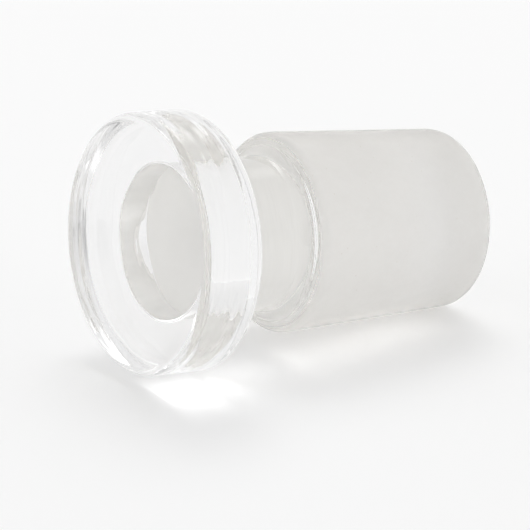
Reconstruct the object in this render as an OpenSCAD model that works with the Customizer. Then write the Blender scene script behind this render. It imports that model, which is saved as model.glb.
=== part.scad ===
// Solid glass stopper with a disc head, a narrower neck and a ground taper plug.
// It stands on the small end of its plug, with its axis on Z.

/* [Plug] */
// Diameter of the taper where it meets the shoulder
taper_d = 29.2; // [24:0.1:36]
// Length of the plug from its small end to the shoulder
taper_l = 32; // [16:0.5:50]
// Length over which the taper loses one unit of diameter
taper_ratio = 10; // [8:0.5:20]
// Radius of the rounded edge at the small end
tip_r = 3; // [0.4:0.1:5]
// Radius of the rounded edge at the shoulder
shoulder_r = 1.8; // [0.4:0.1:3]

/* [Neck] */
// Diameter of the neck
neck_d = 22.2; // [14:0.1:23]
// Length of the neck from the shoulder to the head
neck_l = 12.3; // [8:0.1:24]
// Radius of the fillet between the neck and the shoulder
neck_base_r = 1.7; // [0.4:0.1:3]
// Radius of the fillet between the neck and the head
neck_top_r = 0.6; // [0.4:0.1:3]

/* [Head] */
// Diameter of the disc
head_d = 37.6; // [30:0.1:60]
// Thickness of the disc
head_t = 10.1; // [6:0.1:20]
// Radius of the rounded edge on the neck side
head_back_r = 2.1; // [0.4:0.1:2.8]
// Radius of the rounded edge on the flat face
head_face_r = 0.8; // [0.4:0.1:2.8]

/* [Hidden] */
$fn = 128;

shoulder_z = taper_l;
head_z = shoulder_z + neck_l;
top_z = head_z + head_t;
// Gain in radius for each unit of height, and the factor from a level step to one square to the taper
lean = 1 / (2 * taper_ratio);
slant = sqrt(1 + lean * lean);
tip_edge_r = taper_d / 2 - taper_l * lean;
neck_r = neck_d / 2;
head_r = head_d / 2;

// Centre of an edge round of radius r at height z that touches the taper from inside
function on_taper(r, z) = [tip_edge_r + z * lean - r * slant, z];
// Point where that round leaves the taper
function leaves_taper(r, z) = on_taper(r, z) + [r, -r * lean] / slant;

tip_centre = on_taper(tip_r, tip_r);
shoulder_centre = on_taper(shoulder_r, shoulder_z - shoulder_r);
// Each fillet of the neck stays on the flat that it runs out on
base_r = max(0, min(neck_base_r, shoulder_centre.x - neck_r));
top_r = max(0, min(neck_top_r, head_r - head_back_r - neck_r));

// Half section of the plug, with both of its edges rounded
module plug_section() {
    polygon([
        [0, 0],
        [tip_centre.x, 0],
        tip_centre,
        leaves_taper(tip_r, tip_r),
        leaves_taper(shoulder_r, shoulder_z - shoulder_r),
        shoulder_centre,
        [shoulder_centre.x, shoulder_z],
        [0, shoulder_z]
    ]);
    translate(tip_centre) circle(r = tip_r);
    translate(shoulder_centre) circle(r = shoulder_r);
}

// Fillet of radius r from the flat at height z to the neck, on the upper side (1) or the lower side (-1)
module fillet_section(r, z, up) {
    if (r > 0) difference() {
        translate([neck_r - r, min(z, z + up * r)]) square([2 * r, r]);
        translate([neck_r + r, z + up * r]) circle(r = r);
    }
}

// Half section of the neck, with a fillet at each end, from inside the plug's shoulder to the head
module neck_section() {
    translate([0, shoulder_centre.y]) square([neck_r, head_z - shoulder_centre.y]);
    fillet_section(base_r, shoulder_z, 1);
    fillet_section(top_r, head_z, -1);
}

// Half section of the head, with both of its edges rounded
module head_section() {
    translate([0, head_z]) square([head_r - head_back_r, head_back_r]);
    translate([0, head_z + head_back_r]) square([head_r, head_t - head_back_r - head_face_r]);
    translate([0, top_z - head_face_r]) square([head_r - head_face_r, head_face_r]);
    translate([head_r - head_back_r, head_z + head_back_r]) circle(r = head_back_r);
    translate([head_r - head_face_r, top_z - head_face_r]) circle(r = head_face_r);
}

// The whole stopper, pressed in one piece of clear glass, its taper ground to fit
module stopper() {
    color([0.87, 0.88, 0.87, 0.55])
        rotate_extrude() {
            plug_section();
            neck_section();
            head_section();
        }
}

stopper();
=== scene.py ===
import math

import bmesh
import bpy
from mathutils import Matrix, Vector


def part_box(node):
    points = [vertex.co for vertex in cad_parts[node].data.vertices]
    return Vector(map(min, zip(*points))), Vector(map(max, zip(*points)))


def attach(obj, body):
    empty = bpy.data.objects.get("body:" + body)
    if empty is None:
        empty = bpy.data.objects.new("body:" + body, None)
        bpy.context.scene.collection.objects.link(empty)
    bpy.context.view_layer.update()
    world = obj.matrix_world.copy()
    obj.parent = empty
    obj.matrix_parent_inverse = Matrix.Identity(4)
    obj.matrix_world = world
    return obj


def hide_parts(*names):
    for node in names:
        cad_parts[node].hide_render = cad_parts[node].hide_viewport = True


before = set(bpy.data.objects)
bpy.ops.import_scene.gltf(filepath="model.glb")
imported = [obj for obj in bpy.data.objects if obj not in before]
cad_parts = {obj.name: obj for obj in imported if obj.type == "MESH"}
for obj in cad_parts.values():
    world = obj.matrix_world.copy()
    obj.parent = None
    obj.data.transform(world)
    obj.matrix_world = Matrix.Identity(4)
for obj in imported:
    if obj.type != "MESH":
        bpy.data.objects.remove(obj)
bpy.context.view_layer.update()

# Stopper: one solid piece of clear glass, pressed to shape and fire-polished, so that all its edges are
# softly round. Its plug was then ground with grit to a taper of 1 in 10, which leaves the plug matt.
mm = 0.001
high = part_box("stopper")[1]
head_r = high.x
top_z = high.z
head_t = 10.1 * mm
neck_r = 11.1 * mm
neck_l = 12.3 * mm
shoulder_r = 14.6 * mm
taper_lean = 1 / 20
head_z = top_z - head_t
shoulder_z = head_z - neck_l
tip_r = shoulder_r - shoulder_z * taper_lean
tip_round = 3.0 * mm
shoulder_round = 1.8 * mm
neck_base_round = 1.7 * mm
neck_top_round = 0.6 * mm
head_back_round = 2.1 * mm
head_face_round = 1.3 * mm
turn_steps = 360
round_segments = 24
weld = 0.001 * mm
near = 0.01 * mm

outline = [
    (0, 0), (tip_r, 0), (shoulder_r, shoulder_z), (neck_r, shoulder_z),
    (neck_r, head_z), (head_r, head_z), (head_r, top_z), (0, top_z),
]
shape = bmesh.new()
corners = [shape.verts.new((radius, 0, height)) for radius, height in outline]
for start, end in zip(corners, corners[1:]):
    shape.edges.new((start, end))
bmesh.ops.spin(
    shape, geom=shape.verts[:] + shape.edges[:], cent=(0, 0, 0), axis=(0, 0, 1),
    angle=math.tau, steps=turn_steps, use_merge=True,
)
bmesh.ops.remove_doubles(shape, verts=shape.verts, dist=weld)
bmesh.ops.recalc_face_normals(shape, faces=shape.faces)

# Each turned corner is bevelled to a round. The lean of the taper makes the round at the small end reach
# less far along the sides that it joins, and the one at the shoulder reach further.
half_lean = math.atan(taper_lean) / 2
tip_reach = 1 / math.tan(math.pi / 4 + half_lean)
shoulder_reach = 1 / math.tan(math.pi / 4 - half_lean)
rounds = [
    (tip_r, 0, tip_round * tip_reach),
    (shoulder_r, shoulder_z, shoulder_round * shoulder_reach),
    (neck_r, shoulder_z, neck_base_round),
    (neck_r, head_z, neck_top_round),
    (head_r, head_z, head_back_round),
    (head_r, top_z, head_face_round),
]
for radius, height, reach in rounds:
    corner = Vector((radius, height))
    ring = [
        edge for edge in shape.edges
        if all((Vector((v.co.xy.length, v.co.z)) - corner).length < near for v in edge.verts)
    ]
    bmesh.ops.bevel(
        shape, geom=ring, offset=reach, offset_type="OFFSET", segments=round_segments,
        profile=0.5, affect="EDGES", material=-1, clamp_overlap=False,
    )

# The grinding stops within the round at each end of the plug, and leaves the small end clear.
ground_top = shoulder_z - 0.35 * mm
ground_end = 1.5 * mm
for face in shape.faces:
    face.smooth = True
    face.material_index = int(ground_end < face.calc_center_median().z < ground_top)
mesh = bpy.data.meshes.new("stopper_glass")
shape.to_mesh(mesh)
shape.free()
stopper = bpy.data.objects.new("stopper_glass", mesh)
bpy.context.scene.collection.objects.link(stopper)
even_normals = stopper.modifiers.new("even_normals", "WEIGHTED_NORMAL")
even_normals.weight = 100
even_normals.keep_sharp = True
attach(stopper, "root")
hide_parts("stopper")


def linear(hex_colour):
    """The linear colour of an sRGB hex value."""
    parts = [int(hex_colour[i:i + 2], 16) / 255 for i in (1, 3, 5)]
    return [c / 12.92 if c <= 0.04045 else ((c + 0.055) / 1.055) ** 2.4 for c in parts] + [1.0]


def add(tree, kind, inputs=None, **settings):
    """Adds a node with its settings; an input is a value, or an output socket to link from."""
    made = tree.nodes.new(kind)
    for name, value in settings.items():
        setattr(made, name, value)
    for name, value in (inputs or {}).items():
        if isinstance(value, bpy.types.NodeSocket):
            tree.links.new(value, made.inputs[name])
        else:
            made.inputs[name].default_value = value
    return made


def blank(name):
    """A new material and its emptied node tree."""
    material = bpy.data.materials.new(name)
    material.use_nodes = True
    material.node_tree.nodes.clear()
    return material, material.node_tree


# Fire-polished glass: clear and smooth, with the faint waves that pressing and flame leave. Broad swells
# and finer marks that run round with the mould's turning bend what is seen through the rim. The neck is
# smoother than the head, and the face and its edge are smoother than the rim.
glass_ior = 1.5
swell_width = 7 * mm
swell_depth = 0.2 * mm
mark_width = 2.8 * mm
mark_length = 25 * mm
mark_depth = 0.55 * mm
neck_blend = 1 * mm
face_blend = 2.5 * mm
polished, tree = blank("fire_polished_glass")
place = add(tree, "ShaderNodeTexCoord")
broad = add(tree, "ShaderNodeTexNoise", {
    "Vector": place.outputs["Object"], "Scale": 1 / swell_width, "Detail": 1.0,
})
squeeze = add(tree, "ShaderNodeMapping", {
    "Vector": place.outputs["Object"], "Scale": (1 / mark_length, 1 / mark_length, 1 / mark_width),
})
fine = add(tree, "ShaderNodeTexNoise", {"Vector": squeeze.outputs["Vector"], "Scale": 1.0, "Detail": 1.0})
along = add(tree, "ShaderNodeSeparateXYZ", {"Vector": place.outputs["Object"]})
share = add(tree, "ShaderNodeMapRange", {
    "Value": along.outputs["Z"], "From Min": head_z - neck_blend, "From Max": head_z + neck_blend,
    "To Min": 0.05, "To Max": 1.0,
})
swell = add(tree, "ShaderNodeBump", {
    "Height": broad.outputs["Fac"], "Strength": share.outputs["Result"], "Distance": swell_depth,
})
calm = add(tree, "ShaderNodeMapRange", {
    "Value": along.outputs["Z"], "From Min": top_z - face_blend, "From Max": top_z - head_face_round,
    "To Min": 1.0, "To Max": 0.1,
})
part = add(tree, "ShaderNodeMath", {
    0: share.outputs["Result"], 1: calm.outputs["Result"],
}, operation="MULTIPLY")
ripple = add(tree, "ShaderNodeBump", {
    "Height": fine.outputs["Fac"], "Strength": part.outputs["Value"], "Distance": mark_depth,
    "Normal": swell.outputs["Normal"],
})
glass = add(tree, "ShaderNodeBsdfPrincipled", {
    "Base Color": linear("#F9F9F9"), "Roughness": 0.0, "IOR": glass_ior, "Transmission Weight": 1.0,
    "Normal": ripple.outputs["Normal"],
})
add(tree, "ShaderNodeOutputMaterial", {"Surface": glass.outputs["BSDF"]})
mesh.materials.append(polished)

# Ground glass: the same glass cut by grit, so that it scatters what it passes and looks pale grey, with
# faint blotches and a few pits that hold brown dust. Seen from inside, its colour is painted darker and
# warmer:
# painted shade on its inner side. Real grit is too fine to show, so it is drawn 0.35 mm wide.
blotch_width = 3 * mm
pit_spacing = 1.5 * mm
grit_width = 0.35 * mm
grit_depth = 0.012 * mm
# Sockets of a Mix node for colours go by number, because their names repeat
mix_share = 0
mix_first = 6
mix_second = 7
mix_colour = 2
ground, tree = blank("ground_glass")
place = add(tree, "ShaderNodeTexCoord")
blotch = add(tree, "ShaderNodeTexNoise", {
    "Vector": place.outputs["Object"], "Scale": 1 / blotch_width, "Detail": 8.0, "Roughness": 0.8,
})
tone = add(tree, "ShaderNodeValToRGB", {"Fac": blotch.outputs["Fac"]})
tone.color_ramp.elements[0].position = 0.36
tone.color_ramp.elements[0].color = linear("#F6F5F5")
tone.color_ramp.elements[1].position = 0.64
tone.color_ramp.elements[1].color = linear("#FDFCFC")
pits = add(tree, "ShaderNodeTexVoronoi", {"Vector": place.outputs["Object"], "Scale": 1 / pit_spacing})
dot = add(tree, "ShaderNodeMapRange", {
    "Value": pits.outputs["Distance"], "From Min": 0.03, "From Max": 0.09, "To Min": 0.35, "To Max": 0.0,
})
stain = add(tree, "ShaderNodeMix", {
    mix_share: dot.outputs["Result"], mix_first: tone.outputs["Color"], mix_second: linear("#B0A48C"),
}, data_type="RGBA")
grit = add(tree, "ShaderNodeTexNoise", {
    "Vector": place.outputs["Object"], "Scale": 1 / grit_width, "Detail": 3.0,
})
# Painted shade: the inner side of the ground glass gets a darker, warmer colour than its outer side.
painted_inner_shade = add(tree, "ShaderNodeMix", {
    mix_share: grit.outputs["Fac"], mix_first: linear("#D5D3CD"), mix_second: linear("#E7E5E0"),
}, data_type="RGBA")
side = add(tree, "ShaderNodeNewGeometry")
# Backfacing picks the painted inner shade; the outer side keeps its own colour with blotches and dust.
stain_or_inner_shade = add(tree, "ShaderNodeMix", {
    mix_share: side.outputs["Backfacing"], mix_first: stain.outputs[mix_colour],
    mix_second: painted_inner_shade.outputs[mix_colour],
}, data_type="RGBA")
grain = add(tree, "ShaderNodeBump", {
    "Height": grit.outputs["Fac"], "Strength": 1.0, "Distance": grit_depth,
})
matt = add(tree, "ShaderNodeBsdfPrincipled", {
    "Base Color": stain_or_inner_shade.outputs[mix_colour], "Roughness": 0.6, "IOR": glass_ior,
    "Transmission Weight": 0.92, "Normal": grain.outputs["Normal"],
})
add(tree, "ShaderNodeOutputMaterial", {"Surface": matt.outputs["BSDF"]})
mesh.materials.append(ground)

# Camera: a long lens that looks down on the head's flat face, rolled so that the stopper lies across
# the picture with its head on the left.
image_px = 530
focal_px = 5000
face_px = Vector((134.8, 245.0))
camera_distance = 708 * mm
camera_elevation = math.radians(33.7)
camera_roll = math.radians(-95.5)
camera_data = bpy.data.cameras.new("camera")
camera_data.sensor_width = 36
camera_data.lens = camera_data.sensor_width * focal_px / image_px
camera_data.clip_start = 0.01
camera_data.clip_end = 20
camera = bpy.data.objects.new("camera", camera_data)
bpy.context.scene.collection.objects.link(camera)
bpy.context.scene.camera = camera
turn = Matrix.Rotation(math.pi / 2 - camera_elevation, 3, "X") @ Matrix.Rotation(camera_roll, 3, "Z")
across = (face_px.x - image_px / 2) * camera_distance / focal_px
up = (image_px / 2 - face_px.y) * camera_distance / focal_px
eye = Vector((0, 0, top_z)) - turn @ Vector((across, up, -camera_distance))
camera.matrix_world = Matrix.Translation(eye) @ turn.to_4x4()

# Bench: a pale sweep that the stopper would lie on, on its head's rim and the edge of its small end. The
# camera looks down on it by 20 degrees, and the stopper's axis leans 7.41 degrees from it. It shows from
# its upper side only, so that the stopper can be seen from below it too.
bench_half = 1.5
bench_view = math.radians(20)
bench_tilt = math.radians(7.41)
to_camera = turn @ Vector((0, 0, 1))
seen_height = math.sin(bench_view) - math.sin(bench_tilt) * to_camera.z
touch_y = seen_height / (-math.cos(bench_tilt) * to_camera.y)
touch = Vector((-math.sqrt(1 - touch_y ** 2), touch_y, 0))
bench_up = Vector((0, 0, math.sin(bench_tilt))) - math.cos(bench_tilt) * touch
rim_centre = Vector((0, 0, head_z + head_back_round)) + (head_r - head_back_round) * touch
bench_point = rim_centre - head_back_round * bench_up
bench_front = (to_camera - to_camera.dot(bench_up) * bench_up).normalized()
bench_right = bench_up.cross(bench_front)
bench_turn = Matrix((bench_right, -bench_front, bench_up)).transposed()

flat = bmesh.new()
bmesh.ops.create_grid(flat, x_segments=1, y_segments=1, size=bench_half)
flat.transform(Matrix.Translation(bench_point) @ bench_turn.to_4x4())
bench_mesh = bpy.data.meshes.new("bench")
flat.to_mesh(bench_mesh)
flat.free()
bench = bpy.data.objects.new("bench", bench_mesh)
bpy.context.scene.collection.objects.link(bench)

# Pale sweep: matt painted board, a plain near white.
pale, tree = blank("pale_sweep")
paint = add(tree, "ShaderNodeBsdfDiffuse", {"Color": linear("#F9F9F9")})
clear = add(tree, "ShaderNodeBsdfTransparent")
side = add(tree, "ShaderNodeNewGeometry")
upper = add(tree, "ShaderNodeMixShader", {
    0: side.outputs["Backfacing"], 1: paint.outputs["BSDF"], 2: clear.outputs["BSDF"],
})
add(tree, "ShaderNodeOutputMaterial", {"Surface": upper.outputs["Shader"]})
bench_mesh.materials.append(pale)

# Light: a wide lamp above and behind, brightest in its middle so that its edge leaves no hard line. The
# room is pale, darker on the camera's side, and a little brighter low down, where the sweep meets it.
lamp_distance = 2.4
lamp_data = bpy.data.lights.new("softbox", "AREA")
lamp_data.shape = "SQUARE"
lamp_data.size = 2.2
lamp_data.energy = 50
lamp_data.use_nodes = True
tree = lamp_data.node_tree
tree.nodes.clear()
spot = add(tree, "ShaderNodeNewGeometry")
from_middle = add(tree, "ShaderNodeVectorMath", {
    0: spot.outputs["Parametric"], 1: (0.5, 0.5, 0),
}, operation="DISTANCE")
fade = add(tree, "ShaderNodeMapRange", {
    "Value": from_middle.outputs["Value"], "From Min": 0.0, "From Max": 0.5, "To Min": 1.0, "To Max": 0.0,
}, interpolation_type="SMOOTHSTEP")
shine = add(tree, "ShaderNodeEmission", {"Strength": fade.outputs["Result"]})
add(tree, "ShaderNodeOutputLight", {"Surface": shine.outputs["Emission"]})
lamp = bpy.data.objects.new("softbox", lamp_data)
bpy.context.scene.collection.objects.link(lamp)
middle = Vector((0, 0, top_z / 2))
lamp_way = (0.85 * bench_up - 0.65 * bench_front + 0.03 * bench_right).normalized()
lamp_turn = lamp_way.to_track_quat("Z", "Y").to_matrix().to_4x4()
lamp.matrix_world = Matrix.Translation(middle + lamp_distance * lamp_way) @ lamp_turn

bright_way = (0.3 * bench_up - 0.95 * bench_front).normalized()
world = bpy.data.worlds.new("studio")
world.use_nodes = True
bpy.context.scene.world = world
tree = world.node_tree
tree.nodes.clear()
ways = add(tree, "ShaderNodeTexCoord")
facing = add(tree, "ShaderNodeVectorMath", {
    0: ways.outputs["Generated"], 1: bright_way,
}, operation="DOT_PRODUCT")
glow = add(tree, "ShaderNodeMapRange", {
    "Value": facing.outputs["Value"], "From Min": -0.95, "From Max": -0.4, "To Min": 0.2, "To Max": 1.1,
}, interpolation_type="SMOOTHSTEP")
rise = add(tree, "ShaderNodeVectorMath", {
    0: ways.outputs["Generated"], 1: bench_up,
}, operation="DOT_PRODUCT")
haze = add(tree, "ShaderNodeMapRange", {
    "Value": rise.outputs["Value"], "From Min": 0.0, "From Max": 0.12, "To Min": 1.05, "To Max": 1.0,
}, interpolation_type="SMOOTHSTEP")
level = add(tree, "ShaderNodeMath", {
    0: glow.outputs["Result"], 1: haze.outputs["Result"],
}, operation="MULTIPLY")
sky = add(tree, "ShaderNodeBackground", {"Strength": level.outputs["Value"]})
add(tree, "ShaderNodeOutputWorld", {"Surface": sky.outputs["Background"]})

# Light turns many times inside the glass, and the bright patch under the head needs its sharp paths.
glass_bounces = 32
bpy.context.scene.view_settings.view_transform = "Standard"
for kind in ("max_bounces", "glossy_bounces", "transmission_bounces"):
    setattr(bpy.context.scene.cycles, kind, glass_bounces)
bpy.context.scene.cycles.blur_glossy = 0
